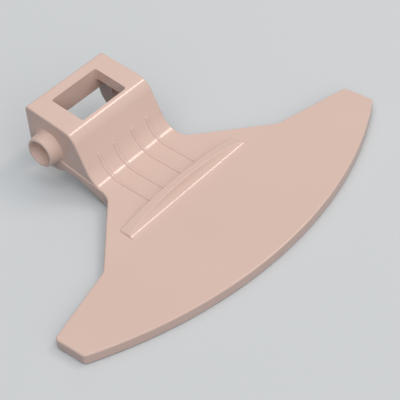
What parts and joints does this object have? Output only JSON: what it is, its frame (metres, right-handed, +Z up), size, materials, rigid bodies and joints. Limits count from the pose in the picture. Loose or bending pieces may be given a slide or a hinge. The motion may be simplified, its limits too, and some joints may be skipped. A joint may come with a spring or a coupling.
{
  "type": "washing machine door handle",
  "caption": "One-piece moulded door handle: crescent grip paddle, coved brow and four raised beads on its neck, and a windowed hub with two pivot bosses",
  "frame": {"origin": "on the pivot axis, midway between the two bosses", "axes": "+X along the pivot axis, +Y from the paddle's outer arc to the back of the hub, +Z up from the paddle's flat rim to its skin"},
  "size_m": [0.124, 0.0791, 0.0228],
  "materials": {
    "moulded_plastic": "smooth gloss, straight from a polished mould"
  },
  "bodies": {
    "root": {"handle": "moulded_plastic"}
  },
  "joints": []
}
